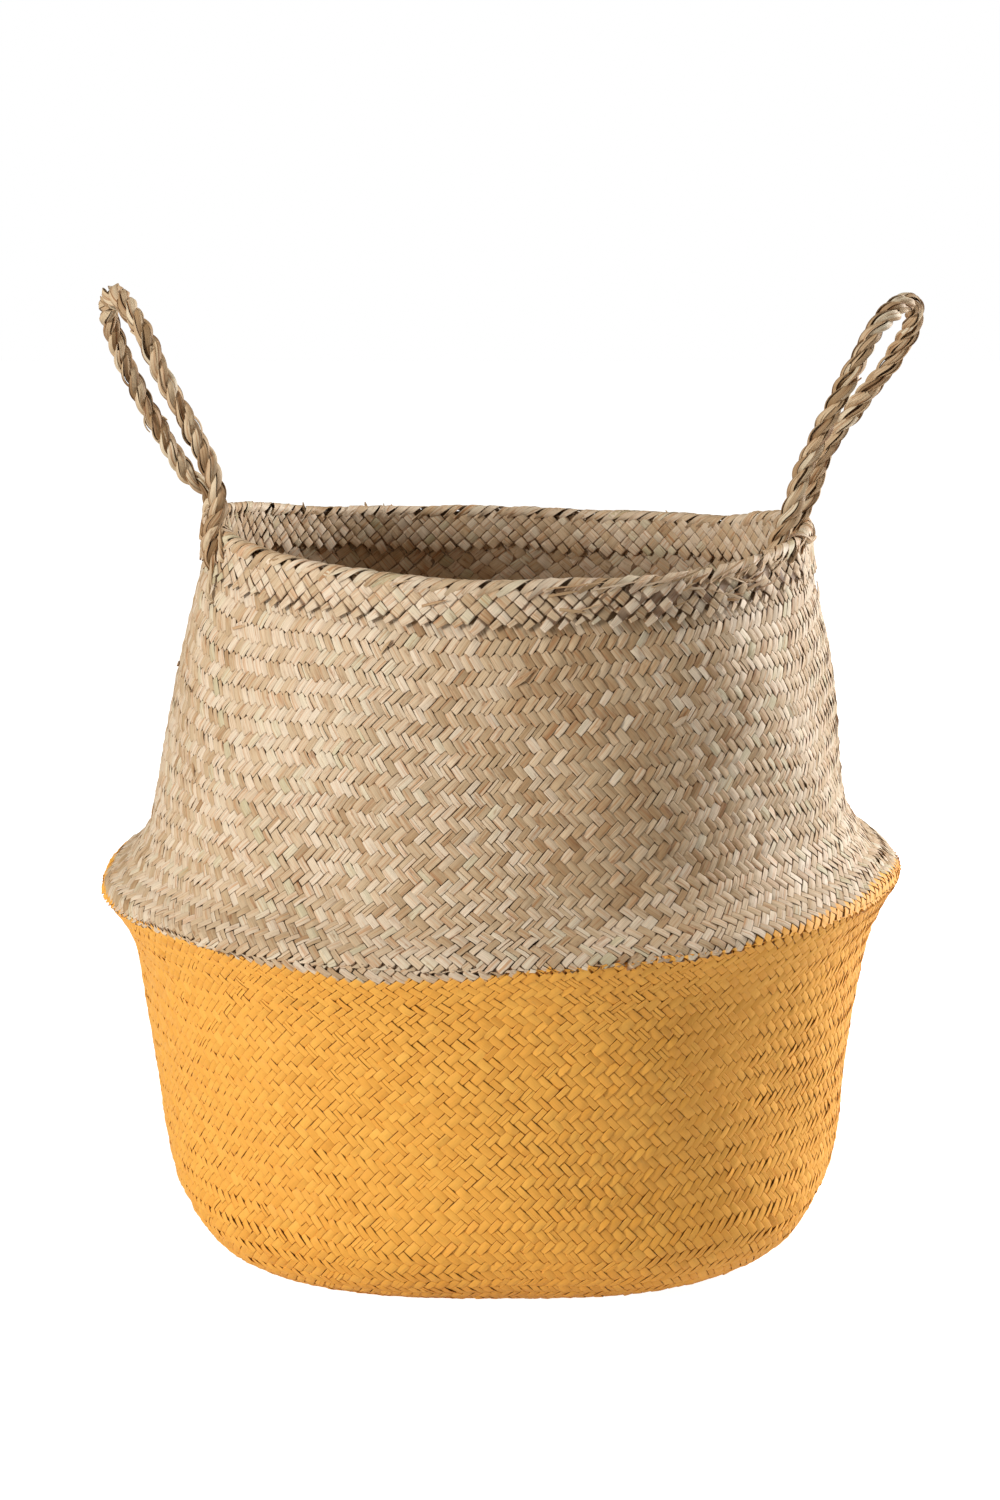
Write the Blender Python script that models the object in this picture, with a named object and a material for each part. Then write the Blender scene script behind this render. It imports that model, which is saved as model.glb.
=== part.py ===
# Woven belly basket, in metres, +Z up, standing on z = 0 with its axis on Z.
# The wall is one plaited skin: a flat bottom, a flared lower wall up to the belly,
# a fold that steps in to the neck, and an upper wall that tapers to a hemmed rim.
# Two twisted rope handles stand on rope eyes, which go through the hem and over the rim.

import math

import bmesh
import bpy
from mathutils import Matrix, Vector

# Skin and clearances
WALL_THICKNESS = 0.0026
FIT_GAP = 0.0003

# Lower wall
BELLY_RADIUS = 0.190
BELLY_HEIGHT = 0.171
LOWER_FLARE = 0.0265
FOOT_CORNER_RADIUS = 0.045
FOOT_CORNER_SWEEP = math.radians(80)
MAT_INSET = 0.0072

# Fold above the belly
FOLD_RISE = 0.037
FOLD_DEPTH = 0.0255

# Upper wall
UPPER_RISE = 0.119
UPPER_TAPER = 0.0240

# Hem and rim
HEM_THICKNESS = 0.0013
HEM_OUTSIDE_DROP = 0.0190
HEM_INSIDE_DROP = 0.0175

# The hand-made shape is not quite round
RIM_PEAK = 0.012
RIM_LEAN = 0.0045
RIM_TILT = -0.0022
BELLY_TILT = 0.0038
FOOT_SQUARE_HEIGHT = 0.060
FOOT_SQUARE_SHARE = 0.05

# Rope eyes through the hem
EYE_ROPE_RADIUS = 0.0026
EYE_CLEARANCE = 0.0010
EYE_DROP = 0.0035
HOLE_CLEARANCE = 0.0011
HOLE_OVERRUN = 0.010

# Rope handles
HANDLE_ROPE_RADIUS = 0.0045
HANDLE_END_RADIUS = 0.0034
HANDLE_END_TAPER = 0.004

# Where the two handles stand, how far they lean out, and how they curve, as shares of that reach
LEFT_FRONT_ANGLE = math.radians(202)
LEFT_BACK_ANGLE = math.radians(179)
LEFT_RISE = 0.1035
LEFT_ARCH_RISE = 0.0283
LEFT_FRONT_REACH = 0.0362
LEFT_FRONT_BOW_SHARE = -0.067
LEFT_FRONT_SWAY_SHARE = 0.079
LEFT_BACK_REACH = 0.0516
LEFT_BACK_BOW_SHARE = 0.093
LEFT_BACK_SWAY_SHARE = 0.002
RIGHT_FRONT_ANGLE = math.radians(333)
RIGHT_BACK_ANGLE = math.radians(355)
RIGHT_RISE = 0.1066
RIGHT_ARCH_RISE = 0.0312
RIGHT_FRONT_REACH = 0.0372
RIGHT_FRONT_BOW_SHARE = -0.114
RIGHT_FRONT_SWAY_SHARE = 0.065
RIGHT_BACK_REACH = 0.0547
RIGHT_BACK_BOW_SHARE = -0.150
RIGHT_BACK_SWAY_SHARE = 0.068

# Outline of each stretch of wall: share of its height, then share of its change of radius
FLARE_SHARES = ((0.27, 0.10), (0.57, 0.29), (0.77, 0.455), (0.88, 0.66), (1.0, 1.0))
FOLD_SHARES = (
    (0.08, -0.01),
    (0.19, 0.09),
    (0.32, 0.34),
    (0.44, 0.56),
    (0.64, 0.77),
    (0.81, 0.92),
    (1.0, 1.0),
)
TAPER_SHARES = ((0.10, 0.11), (0.33, 0.31), (0.56, 0.52), (0.74, 0.745), (0.87, 0.92), (1.0, 1.0))

# Mesh fineness
AROUND = 48
CORNER_STEPS = 5
UPPER_STEPS = 2
HEM_STEPS = 3
LIP_STEPS = 4
ROPE_SIDES = 10
EYE_SIDES = 8
EYE_ARC_STEPS = 7
HANDLE_LEG_STEPS = 5
HANDLE_ARCH_STEPS = 12
HOLE_SIDES = 16
CLOSING_STEPS = 6

UP = Vector((0.0, 0.0, 1.0))

# Sizes that follow from the ones above
foot_wall_radius = BELLY_RADIUS - LOWER_FLARE
corner_centre = foot_wall_radius - FOOT_CORNER_RADIUS * math.sin(FOOT_CORNER_SWEEP)
mat_radius = corner_centre - MAT_INSET
neck_height = BELLY_HEIGHT + FOLD_RISE
neck_radius = BELLY_RADIUS - FOLD_DEPTH
rim_height = neck_height + UPPER_RISE
rim_radius = neck_radius - UPPER_TAPER
half_wall = WALL_THICKNESS / 2
half_rim = half_wall + FIT_GAP + HEM_THICKNESS
eye_reach = half_rim + EYE_CLEARANCE + EYE_ROPE_RADIUS
eye_top_reach = eye_reach + EYE_ROPE_RADIUS + FIT_GAP


def clear_scene():
    for thing in list(bpy.data.objects):
        bpy.data.objects.remove(thing, do_unlink=True)


def fibre(name, colour, roughness):
    material = bpy.data.materials.new(name)
    material.use_nodes = True
    shader = material.node_tree.nodes["Principled BSDF"]
    shader.inputs["Base Color"].default_value = (*colour, 1.0)
    shader.inputs["Roughness"].default_value = roughness
    shader.inputs["Metallic"].default_value = 0.0
    material.diffuse_color = (*colour, 1.0)
    return material


def eased(value, start, end):
    share = min(max((value - start) / (end - start), 0.0), 1.0)
    return share * share * (3.0 - 2.0 * share)


def place(radius, height, angle):
    """A point of the round outline, moved to where the uneven basket has it."""
    up = eased(height, neck_height, rim_height)
    belly = eased(height, FOOT_CORNER_RADIUS, BELLY_HEIGHT) * (1.0 - up)
    rise = RIM_PEAK * up * math.cos(angle) ** 4
    rise += (BELLY_TILT * belly + RIM_TILT * up) * math.cos(angle)
    square = FOOT_SQUARE_SHARE * (1.0 - eased(height, 0.0, FOOT_SQUARE_HEIGHT))
    radius = radius * (1.0 - square * math.cos(4.0 * angle))
    x = radius * math.cos(angle) + RIM_LEAN * up
    return Vector((x, radius * math.sin(angle), height + rise))


# The outline of the wall, as points (radius, height) on its outer side


def curve_through(points, before, after, steps):
    """A smooth curve through the points, each stretch in this many steps."""
    chain = [before, *points, after]
    found = [points[0]]
    for i in range(1, len(chain) - 2):
        a, b, c, d = chain[i - 1 : i + 3]
        for step in range(1, steps + 1):
            t = step / steps
            pull = (c - a) * t + (a * 2 - b * 5 + c * 4 - d) * t**2 + (b * 3 - a - c * 3 + d) * t**3
            found.append(b + pull / 2)
    return found


def foot_points():
    """The flat edge of the bottom and the round corner up into the wall."""
    points = [Vector((mat_radius + FIT_GAP, 0.0))]
    for step in range(CORNER_STEPS + 1):
        turn = FOOT_CORNER_SWEEP * step / CORNER_STEPS
        across = corner_centre + FOOT_CORNER_RADIUS * math.sin(turn)
        points.append(Vector((across, FOOT_CORNER_RADIUS * (1.0 - math.cos(turn)))))
    return points


def stretch_points(start, end, shares):
    """The outline's own points along one stretch of wall, after its start."""
    span = end - start
    return [start + Vector((span.x * out, span.y * up)) for up, out in shares]


foot = foot_points()
flare = stretch_points(foot[-1], Vector((BELLY_RADIUS, BELLY_HEIGHT)), FLARE_SHARES)
fold = stretch_points(flare[-1], Vector((neck_radius, neck_height)), FOLD_SHARES)
taper = stretch_points(fold[-1], Vector((rim_radius, rim_height)), TAPER_SHARES)
upper_line = curve_through([fold[-1], *taper], fold[-2], taper[-1] * 2 - taper[-2], UPPER_STEPS)
wall_line = foot + flare + fold + upper_line[1:]
belly_index = len(foot + flare) - 1
neck_index = belly_index + len(fold)
rim_index = len(wall_line) - 1


def offset(points, distance):
    """The same outline moved to its outer side by this distance, with its top end kept level."""
    moved = []
    for i, point in enumerate(points):
        along = points[min(i + 1, len(points) - 1)] - points[max(i - 1, 0)]
        along.normalize()
        moved.append(point + Vector((along.y, -along.x)) * distance)
    moved[-1].y = points[-1].y
    return moved


inner_line = offset(wall_line, -WALL_THICKNESS)


def stretch(points, first, last):
    """One stretch of the outline, less the gap to the stretch below."""
    found = points[first : last + 1]
    if first > 0:
        found[0] = found[0] + (found[1] - found[0]).normalized() * FIT_GAP
    return found


def wall_at(drop):
    """The point of the upper wall's outline this far below its top."""
    height = rim_height - drop
    for low, high in zip(upper_line, upper_line[1:]):
        if height <= high.y:
            break
    return low.lerp(high, (height - low.y) / (high.y - low.y))


def band(drop):
    """The last stretch of the upper wall's outline, from this far below its top."""
    return [wall_at(drop * (1.0 - step / HEM_STEPS)) for step in range(HEM_STEPS + 1)]


# Solids


def finish(mesh, name, material, pivot=None):
    """An object from this mesh, with its origin at the pivot."""
    bmesh.ops.triangulate(mesh, faces=mesh.faces[:])
    bmesh.ops.recalc_face_normals(mesh, faces=mesh.faces[:])
    if pivot is not None:
        bmesh.ops.translate(mesh, verts=mesh.verts[:], vec=-pivot)
    data = bpy.data.meshes.new(name)
    mesh.to_mesh(data)
    mesh.free()
    data.shade_smooth()
    data.set_sharp_from_angle(angle=math.radians(40))
    data.materials.append(material)
    thing = bpy.data.objects.new(name, data)
    if pivot is not None:
        thing.location = pivot
    bpy.context.scene.collection.objects.link(thing)
    return thing


def skin_faces(mesh, rings, closed):
    """Faces between each ring of vertices and the next."""
    count = len(rings)
    for i in range(count if closed else count - 1):
        here, there = rings[i], rings[(i + 1) % count]
        for j in range(len(here)):
            k = (j + 1) % len(here)
            mesh.faces.new((here[j], here[k], there[k], there[j]))


def turned(name, outline, material):
    """A closed ring whose section is this outline."""
    mesh = bmesh.new()
    rings = []
    for i in range(AROUND):
        angle = math.tau * i / AROUND
        rings.append([mesh.verts.new(place(p.x, p.y, angle)) for p in outline])
    skin_faces(mesh, rings, True)
    return finish(mesh, name, material)


def wall_ring(name, first, last, material):
    outer = stretch(wall_line, first, last)
    inner = stretch(inner_line, first, last)
    return turned(name, outer + inner[::-1], material)


def base_mat(material):
    mesh = bmesh.new()
    rings = []
    for height in (0.0, WALL_THICKNESS):
        angles = [math.tau * i / AROUND for i in range(AROUND)]
        edge = [place(mat_radius, 0.0, angle) + UP * height for angle in angles]
        rings.append([mesh.verts.new(point) for point in edge])
    skin_faces(mesh, rings, False)
    mesh.faces.new(rings[0])
    mesh.faces.new(rings[1])
    return finish(mesh, "base_mat", material)


def hem_ring(name, drop, inner, material):
    """A turned-down layer of the hem, lying on one side of the wall."""
    near = -WALL_THICKNESS - FIT_GAP if inner else FIT_GAP
    far = near - HEM_THICKNESS if inner else near + HEM_THICKNESS
    line = band(drop)
    return turned(name, offset(line, near) + offset(line, far)[::-1], material)


def rim_lip(material):
    """The half-round edge where the strips fold over the top of the wall."""
    middle = Vector((rim_radius - half_wall, rim_height + FIT_GAP))
    outline = []
    for step in range(LIP_STEPS + 1):
        turn = math.pi * step / LIP_STEPS
        outline.append(middle + Vector((math.cos(turn), math.sin(turn))) * half_rim)
    return turned("rim_lip", outline, material)


def rope(name, points, radii, sides, closed, material, pivot=None):
    """A round tube along the points, with a radius at each."""
    mesh = bmesh.new()
    rings = []
    count = len(points)
    side = None
    for i, point in enumerate(points):
        ahead = points[(i + 1) % count if closed else min(i + 1, count - 1)]
        behind = points[(i - 1) % count if closed else max(i - 1, 0)]
        along = (ahead - behind).normalized()
        if side is None:
            side = along.orthogonal().normalized()
        side = (side - along * side.dot(along)).normalized()
        other = along.cross(side)
        ring = []
        for j in range(sides):
            turn = math.tau * j / sides
            spoke = side * math.cos(turn) + other * math.sin(turn)
            ring.append(mesh.verts.new(point + spoke * radii[i]))
        rings.append(ring)
    skin_faces(mesh, rings, closed)
    if not closed:
        mesh.faces.new(rings[0])
        mesh.faces.new(rings[-1])
    return finish(mesh, name, material, pivot)


# Where the handles stand on the rim


def rim_middle(angle):
    """The middle of the wall's top edge, under the lip."""
    return place(rim_radius - half_wall, rim_height, angle)


def hinge_of(start_angle, end_angle):
    """Both ends of a handle's hinge line, and the level direction across it, outward."""
    start, end = rim_middle(start_angle), rim_middle(end_angle)
    across = (end - start).cross(UP).normalized()
    if across.dot(start) < 0.0:
        across = -across
    return start, end, across


def eye_frame(top, angle, across):
    """The eye's lower centre, and its directions down along the wall and out of it."""
    middle = wall_at(EYE_DROP + eye_reach) - Vector((half_wall, 0.0))
    run = place(middle.x, middle.y, angle) - top
    down = (across * run.dot(across) + UP * run.z).normalized()
    out = (across - down * across.dot(down)).normalized()
    return top + down * EYE_DROP, down, out


def eye_path(top, bottom, down, out):
    """A loop over the rim, down both sides of the hem and through its hole."""
    points = []
    for step in range(EYE_ARC_STEPS + 1):
        turn = math.pi * step / EYE_ARC_STEPS
        points.append(top + (out * math.cos(turn) - down * math.sin(turn)) * eye_reach)
    for step in range(EYE_ARC_STEPS + 1):
        turn = math.pi * step / EYE_ARC_STEPS
        points.append(bottom - (out * math.cos(turn) - down * math.sin(turn)) * eye_reach)
    return points


def eye_with_hole(name, top, angle, across, layers, material):
    """One rope eye, and its hole through each layer of the hem."""
    bottom, down, out = eye_frame(top, angle, across)
    path = eye_path(top, bottom, down, out)
    eye = rope(name, path, [EYE_ROPE_RADIUS] * len(path), EYE_SIDES, True, material)
    sag = eye_reach - math.sqrt(eye_reach**2 - half_rim**2)
    radius = EYE_ROPE_RADIUS + sag + HOLE_CLEARANCE
    mesh = bmesh.new()
    turn = out.to_track_quat("Z", "Y").to_matrix().to_4x4()
    bmesh.ops.create_cone(
        mesh,
        cap_ends=True,
        segments=HOLE_SIDES,
        radius1=radius,
        radius2=radius,
        depth=(half_rim + HOLE_OVERRUN) * 2,
        matrix=Matrix.Translation(bottom + down * (eye_reach - sag / 2)) @ turn,
    )
    cutter = finish(mesh, name + "_hole", material)
    cutter.hide_render = True
    cutter.display_type = "WIRE"
    for layer in layers:
        hole = layer.modifiers.new(name + "_hole", "BOOLEAN")
        hole.object = cutter
        hole.operation = "DIFFERENCE"
        hole.solver = "EXACT"
    return [eye, cutter]


def leg_out(rise, lean):
    """How far out one leg stands, a share of the arch's rise over the rim."""
    reach, bow, sway = lean
    return reach * (rise + bow * math.sin(math.pi * rise) - sway * math.sin(math.tau * rise))


def lean_out(along, rise, leans):
    """How far out the arch stands, a share of the way from its front leg to its back leg."""
    front, back = leans
    return leg_out(rise, front) * (1.0 - along) + leg_out(rise, back) * along


def leg_heights(along, tall, arch_rise, leans):
    """The heights of one leg's points, from where its end just clears the top of its eye."""
    height = eye_top_reach
    for _ in range(CLOSING_STEPS):
        height = math.sqrt(max(eye_top_reach**2 - lean_out(along, height / tall, leans) ** 2, 0.0))
    neck = height + HANDLE_END_TAPER
    run = tall - arch_rise - neck
    return [height, neck] + [neck + run * (i + 1) / HANDLE_LEG_STEPS for i in range(HANDLE_LEG_STEPS)]


def handle(name, start, end, across, tall, arch_rise, leans, material):
    """A rope arch that stands over both eyes and leans outward at rest."""
    route = [(0.0, height) for height in leg_heights(0.0, tall, arch_rise, leans)]
    for step in range(1, HANDLE_ARCH_STEPS):
        turn = math.pi * step / HANDLE_ARCH_STEPS
        route.append(((1.0 - math.cos(turn)) / 2, tall - arch_rise + arch_rise * math.sin(turn)))
    route += [(1.0, height) for height in reversed(leg_heights(1.0, tall, arch_rise, leans))]
    points = [start.lerp(end, s) + UP * h + across * lean_out(s, h / tall, leans) for s, h in route]
    radii = [HANDLE_ROPE_RADIUS] * len(points)
    radii[0] = radii[-1] = HANDLE_END_RADIUS
    return rope(name, points, radii, ROPE_SIDES, False, material, pivot=start.lerp(end, 0.5))


def basket():
    natural = fibre("natural_plait", (0.60, 0.45, 0.27), 0.8)
    painted = fibre("painted_plait", (0.87, 0.42, 0.08), 0.75)
    dark_rope = fibre("twisted_rope", (0.36, 0.22, 0.12), 0.85)
    base_mat(painted)
    wall_ring("lower_wall", 0, belly_index, painted)
    wall_ring("belly_fold", belly_index, neck_index, natural)
    layers = [
        wall_ring("upper_wall", neck_index, rim_index, natural),
        hem_ring("hem_outside", HEM_OUTSIDE_DROP, False, natural),
        hem_ring("hem_inside", HEM_INSIDE_DROP, True, natural),
    ]
    sliding = [*layers, rim_lip(natural)]
    left_leans = (
        (LEFT_FRONT_REACH, LEFT_FRONT_BOW_SHARE, LEFT_FRONT_SWAY_SHARE),
        (LEFT_BACK_REACH, LEFT_BACK_BOW_SHARE, LEFT_BACK_SWAY_SHARE),
    )
    right_leans = (
        (RIGHT_FRONT_REACH, RIGHT_FRONT_BOW_SHARE, RIGHT_FRONT_SWAY_SHARE),
        (RIGHT_BACK_REACH, RIGHT_BACK_BOW_SHARE, RIGHT_BACK_SWAY_SHARE),
    )
    sides = (
        ("left", LEFT_FRONT_ANGLE, LEFT_BACK_ANGLE, (LEFT_RISE, LEFT_ARCH_RISE, left_leans)),
        ("right", RIGHT_FRONT_ANGLE, RIGHT_BACK_ANGLE, (RIGHT_RISE, RIGHT_ARCH_RISE, right_leans)),
    )
    for side, front, back, arch in sides:
        start, end, across = hinge_of(front, back)
        sliding += eye_with_hole(side + "_front_eye", start, front, across, layers, dark_rope)
        sliding += eye_with_hole(side + "_back_eye", end, back, across, layers, dark_rope)
        sliding.append(handle(side + "_handle", start, end, across, *arch, dark_rope))
    fold_down = bpy.data.objects.new("fold_down_axis", None)
    bpy.context.scene.collection.objects.link(fold_down)
    for thing in sliding:
        thing.parent = fold_down


clear_scene()
basket()
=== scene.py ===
import math

import bpy
import numpy as np
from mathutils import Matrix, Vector


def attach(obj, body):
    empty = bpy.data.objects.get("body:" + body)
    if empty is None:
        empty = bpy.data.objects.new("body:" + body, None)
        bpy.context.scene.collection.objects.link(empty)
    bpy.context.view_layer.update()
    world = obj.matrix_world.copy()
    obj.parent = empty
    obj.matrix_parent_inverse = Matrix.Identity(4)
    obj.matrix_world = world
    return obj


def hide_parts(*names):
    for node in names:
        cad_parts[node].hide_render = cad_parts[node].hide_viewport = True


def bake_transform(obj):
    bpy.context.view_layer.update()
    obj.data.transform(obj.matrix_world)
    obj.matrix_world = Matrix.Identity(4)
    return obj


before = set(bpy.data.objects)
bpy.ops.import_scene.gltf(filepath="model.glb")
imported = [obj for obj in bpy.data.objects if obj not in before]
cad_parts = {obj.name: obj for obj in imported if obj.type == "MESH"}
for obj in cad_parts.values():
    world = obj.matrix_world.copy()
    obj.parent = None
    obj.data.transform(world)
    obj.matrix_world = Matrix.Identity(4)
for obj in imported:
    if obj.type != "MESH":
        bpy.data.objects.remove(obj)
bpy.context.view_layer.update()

tau = math.tau

# outline of the basket in metres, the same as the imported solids
shape = {
    "skin": 0.0026,
    "bellyRadius": 0.190,
    "bellyHeight": 0.171,
    "lowerFlare": 0.0265,
    "footCorner": 0.045,
    "footSweep": math.radians(80),
    "foldRise": 0.037,
    "foldDepth": 0.0255,
    "upperRise": 0.119,
    "upperTaper": 0.0240,
    "rimPeak": 0.012,
    "rimLean": 0.0045,
    "rimTilt": -0.0022,
    "bellyTilt": 0.0038,
    "squareHeight": 0.060,
    "squareShare": 0.05,
    # each pair is a share of the way up and a share of the way across
    "flare": ((0.27, 0.10), (0.57, 0.29), (0.77, 0.455), (0.88, 0.66), (1.0, 1.0)),
    "fold": (
        (0.08, -0.01), (0.19, 0.09), (0.32, 0.34), (0.44, 0.56), (0.64, 0.77), (0.81, 0.92), (1.0, 1.0),
    ),
    "taper": ((0.10, 0.11), (0.33, 0.31), (0.56, 0.52), (0.74, 0.745), (0.87, 0.92), (1.0, 1.0)),
}
neckHeight = shape["bellyHeight"] + shape["foldRise"]
rimHeight = neckHeight + shape["upperRise"]
rimRadius = shape["bellyRadius"] - shape["foldDepth"] - shape["upperTaper"] - shape["skin"] / 2


def eased(value, start, end):
    share = np.clip((value - start) / (end - start), 0.0, 1.0)
    return share * share * (3.0 - 2.0 * share)


def unit(vectors):
    return vectors / np.linalg.norm(vectors, axis=-1, keepdims=True)


def lengthsAlong(line):
    return np.concatenate([[0.0], np.cumsum(np.linalg.norm(np.diff(line, axis=0), axis=1))])


def smoothLine(points, steps):
    points = np.array(points)
    chain = np.vstack([points[0] * 2 - points[1], points, points[-1] * 2 - points[-2]])
    found = [points[0]]
    for i in range(1, len(chain) - 2):
        a, b, c, d = chain[i - 1 : i + 3]
        for step in range(1, steps + 1):
            t = step / steps
            bend = (a * 2 - b * 5 + c * 4 - d) * t**2 + (b * 3 - a - c * 3 + d) * t**3
            found.append(b + ((c - a) * t + bend) / 2)
    return np.array(found)


def wallOutline():
    footRadius = shape["bellyRadius"] - shape["lowerFlare"]
    corner = shape["footCorner"]
    centre = footRadius - corner * math.sin(shape["footSweep"])
    points = [(centre * i / 8, 0.0) for i in range(8)]
    for i in range(9):
        turn = shape["footSweep"] * i / 8
        points.append((centre + corner * math.sin(turn), corner * (1.0 - math.cos(turn))))
    neckRadius = shape["bellyRadius"] - shape["foldDepth"]
    stops = [
        (shape["bellyRadius"], shape["bellyHeight"], shape["flare"]),
        (neckRadius, neckHeight, shape["fold"]),
        (neckRadius - shape["upperTaper"], rimHeight, shape["taper"]),
    ]
    for radius, height, shares in stops:
        r0, z0 = points[-1]
        points += [(r0 + (radius - r0) * out, z0 + (height - z0) * up) for up, out in shares]
    return smoothLine(points, 8)


outline = wallOutline()
slopes = unit(np.gradient(outline, axis=0))
normals = np.stack([slopes[:, 1], -slopes[:, 0]], axis=1)
middle = outline - normals * shape["skin"] / 2  # where the strips cross
runs = lengthsAlong(middle)
rimRun = runs[-1]
bellyRun = float(np.interp(shape["bellyHeight"], outline[:, 1], runs))


def place(radius, height, angle):
    up = eased(height, neckHeight, rimHeight)
    belly = eased(height, shape["footCorner"], shape["bellyHeight"]) * (1.0 - up)
    rise = shape["rimPeak"] * up * np.cos(angle) ** 4
    rise = rise + (shape["bellyTilt"] * belly + shape["rimTilt"] * up) * np.cos(angle)
    square = shape["squareShare"] * (1.0 - eased(height, 0.0, shape["squareHeight"]))
    radius = radius * (1.0 - square * np.cos(4.0 * angle))
    x = radius * np.cos(angle) + shape["rimLean"] * up
    return np.stack([x, radius * np.sin(angle), height + rise], axis=-1)


def waves(seed, across, upward, count=9):
    pick = np.random.default_rng(seed)
    turns = pick.integers(-across, across + 1, count)
    rises = pick.uniform(-upward, upward, count)
    starts = pick.uniform(0, tau, count)
    return lambda angle, run: sum(
        np.sin(turns[i] * angle + rises[i] * run + starts[i]) for i in range(count)
    ) / math.sqrt(count)


# how far the hand-made wall strays: along itself, sideways, outwards, and its rim upwards
uneven = {"sag": 0.0016, "sway": 0.0012, "bulge": 0.0010, "ripple": 0.0012, "clear": 0.0003}
sag, sway, bulge, ripple = waves(3, 11, 50), waves(4, 13, 60), waves(5, 10, 55), waves(6, 9, 0)


def wallPoint(angle, run, lift):
    calm = eased(run, 0.125, 0.175) * (1.0 - 0.5 * eased(run, rimRun - 0.03, rimRun))
    run = run + uneven["sag"] * sag(angle, run) * calm
    lift = lift + uneven["bulge"] * bulge(angle, run) * calm
    lift = lift - uneven["clear"] * (1.0 - eased(run, 0.12, 0.15))  # the bottom's relief clears the floor
    radius = np.interp(run, runs, middle[:, 0])
    angle = angle + uneven["sway"] * sway(angle, run) * calm / np.maximum(radius, 0.05)
    nr, nz = np.interp(run, runs, normals[:, 0]), np.interp(run, runs, normals[:, 1])
    height = np.interp(run, runs, middle[:, 1])
    height = height + uneven["ripple"] * ripple(angle, run) * eased(run, rimRun - 0.05, rimRun)
    return place(radius + nr * lift, height + nz * lift, angle)


# leaf strips: closed ribbons gathered into one mesh per piece

flatLeaf = ((-1.0, 0.4), (-0.82, 1.0), (0.82, 1.0), (1.0, 0.4), (0.86, -1.0), (-0.86, -1.0))  # across, up
insideLeaf = tuple((x, -y) for x, y in flatLeaf[::-1])  # the same, seen from inside
pointKeys = ("strand", "paint", "tone", "sunk")  # one value for each point
leafKeys = ("points", "faces", "caps", "leaf", "bake", "capLeaf", "capBake") + pointKeys
unwrap = {
    "apart": 3.0,  # metres of grain over which the strips start
    "gap": 0.15,
    "sides": 0.86,  # shares of a strip's own row on the bake map
    "caps": 0.93,
}
edgeBrownAndShade = 0.44  # how brown the cut edge of a leaf is, which also paints the shade in the gaps between strips


def newBundle(section=flatLeaf):
    return {"section": np.array(section), "count": 0, "strips": 0} | {key: [] for key in leafKeys}


def fourCorners(x0, x1, y0, y1):
    full = np.broadcast_shapes(x0.shape, y0.shape)
    corners = [(x0, y0), (x0, y1), (x1, y1), (x1, y0)]
    corners = [np.stack([np.broadcast_to(x, full), np.broadcast_to(y, full)], -1) for x, y in corners]
    return np.stack(corners, 2).reshape(-1, 2)


def addStrip(bundle, centre, outward, width, thick, tilt=0.0, paint=0.0, strand=0.5, tone=0.5, swing=None):
    section = bundle["section"]
    n, m = len(centre), len(section)
    width, tilt, paint, tone = (np.broadcast_to(values, n) for values in (width, tilt, paint, tone))
    forward = unit(np.gradient(centre, axis=0))
    across = unit(np.cross(forward, outward))
    outward = np.cross(across, forward)
    u = section[:, 0][None, :] * (width / 2)[:, None]
    lift = section[:, 1][None, :] * thick / 2 + u * tilt[:, None]
    points = centre[:, None, :] + across[:, None, :] * u[..., None] + outward[:, None, :] * lift[..., None]
    base = bundle["count"] + np.arange(n * m).reshape(n, m)
    here, there = base[:-1], base[1:]
    sides = np.stack([here, np.roll(here, -1, 1), np.roll(there, -1, 1), there], axis=-1).reshape(-1, 4)
    bundle["points"].append(points.reshape(-1, 3))
    bundle["faces"].append(sides)
    bundle["caps"].append(np.stack([base[0][::-1], base[-1]]))

    run = lengthsAlong(centre)
    along, share = (run + strand * unwrap["apart"])[:, None], (run / run[-1])[:, None]
    ring = np.concatenate([section[:, 0], section[:1, 0]])
    hop = np.concatenate([[0.0], np.cumsum(np.abs(np.diff(ring)) + unwrap["gap"])])
    hop = (bundle["strips"] + hop / hop[-1] * unwrap["sides"])[None, :]
    half = (width / 2)[:-1, None]
    ends = np.repeat([0.0, 1.0], m)
    capLeaf = [run[-1] * ends + strand * unwrap["apart"], np.tile(section[:, 0], 2) * width[0] / 2]
    capBake = [0.001 + ends * 0.998, bundle["strips"] + unwrap["caps"] + 0.0 * ends]
    ring = ring[None, :]
    bundle["leaf"].append(fourCorners(along[:-1], along[1:], ring[:, :-1] * half, ring[:, 1:] * half))
    bundle["bake"].append(fourCorners(share[:-1], share[1:], hop[:, :-1], hop[:, 1:]))
    bundle["capLeaf"].append(np.stack(capLeaf, axis=1))
    bundle["capBake"].append(np.stack(capBake, axis=1))

    # painted shade: darker where the strip dives under a crossing strip; the browner cut edges also stand in
    # for shade in the gaps
    diveShade = np.zeros((n, m))
    if swing is not None:
        diveShade = np.clip(0.5 - 0.5 * swing[:, None] * np.sign(section[:, 1])[None, :], 0, 1)
    cut = edgeBrownAndShade * (np.abs(section[:, 0]) >= 1.0)
    bundle["strand"].append(np.full(n * m, strand))
    bundle["paint"].append((paint[:, None] * (section[:, 1] > -0.4)[None, :]).reshape(-1))  # outside only
    bundle["tone"].append(np.repeat(tone, m))
    bundle["sunk"].append(np.maximum(diveShade, cut[None, :]).reshape(-1))
    bundle["count"] += n * m
    bundle["strips"] += 1


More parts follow.
